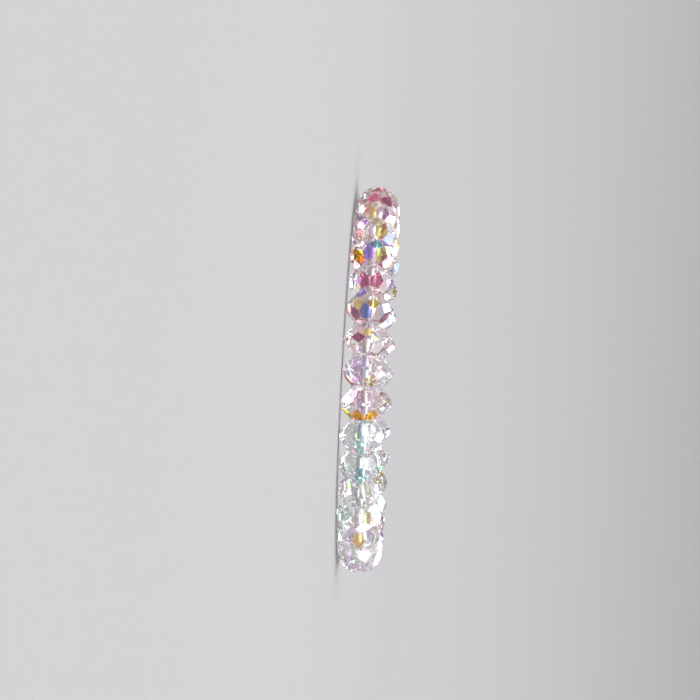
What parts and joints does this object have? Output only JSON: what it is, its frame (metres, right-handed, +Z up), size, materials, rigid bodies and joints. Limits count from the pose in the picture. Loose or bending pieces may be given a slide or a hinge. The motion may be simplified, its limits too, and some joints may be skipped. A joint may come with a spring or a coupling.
{
  "type": "beaded stretch bracelet",
  "caption": "Round stretch bracelet of faceted clear glass rondelle beads with a rainbow coating, strung side by side on a closed elastic thread.",
  "frame": {"origin": "centre of the loop, on the surface that the beads rest on", "axes": "+Z up along the loop's axis, out of the ring; +X from the loop's centre through bead_01; the bracelet lies on its side"},
  "size_m": [0.0704, 0.0706, 0.008],
  "materials": {
    "coated_glass": "polished clear glass with a thin rainbow coating",
    "clear_elastic": "smooth, clear to milky"
  },
  "bodies": {
    "root": {"bead_01": "coated_glass", "bead_02": "coated_glass", "bead_03": "coated_glass", "bead_04": "coated_glass", "bead_05": "coated_glass", "bead_06": "coated_glass", "bead_07": "coated_glass", "bead_08": "coated_glass", "bead_09": "coated_glass", "bead_10": "coated_glass", "bead_11": "coated_glass", "bead_12": "coated_glass", "bead_13": "coated_glass", "bead_14": "coated_glass", "bead_15": "coated_glass", "bead_16": "coated_glass", "bead_17": "coated_glass", "bead_18": "coated_glass", "bead_19": "coated_glass", "bead_20": "coated_glass", "bead_21": "coated_glass", "bead_22": "coated_glass", "bead_23": "coated_glass", "bead_24": "coated_glass", "bead_25": "coated_glass", "bead_26": "coated_glass", "bead_27": "coated_glass", "bead_28": "coated_glass", "bead_29": "coated_glass", "bead_30": "coated_glass", "bead_31": "coated_glass", "bead_32": "coated_glass", "bead_33": "coated_glass", "bead_34": "coated_glass", "bead_35": "coated_glass", "elastic_thread": "clear_elastic"}
  },
  "joints": []
}
